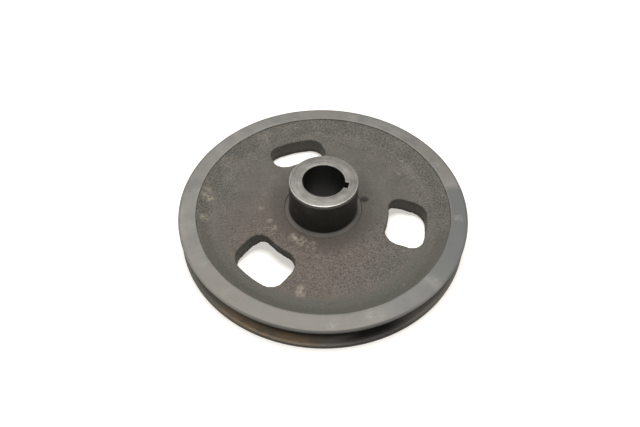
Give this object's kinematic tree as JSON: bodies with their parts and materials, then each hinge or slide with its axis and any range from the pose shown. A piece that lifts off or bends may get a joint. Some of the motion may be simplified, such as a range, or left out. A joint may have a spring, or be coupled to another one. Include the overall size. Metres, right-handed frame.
{
  "type": "v belt pulley",
  "caption": "Single-groove V belt pulley: grooved iron rim, dished web with round-cornered windows and a long turned hub with a keyed bore.",
  "frame": {"origin": "on the pulley's axis, in the plane of the rim's lower face that it lies on", "axes": "+Z along the bore axis towards the long end of the hub; +X from the axis through the middle of the keyway"},
  "size_m": [0.2, 0.2, 0.0457],
  "materials": {
    "rim_iron": "turned, dulled by a thin grey-brown oxide",
    "web_iron": "rough as-cast sand skin, dark brown-grey",
    "hub_iron": "fine turned, dark and lightly oiled, brighter end face"
  },
  "bodies": {
    "root": {"rim": "rim_iron", "web": "web_iron", "hub": "hub_iron"}
  },
  "joints": []
}
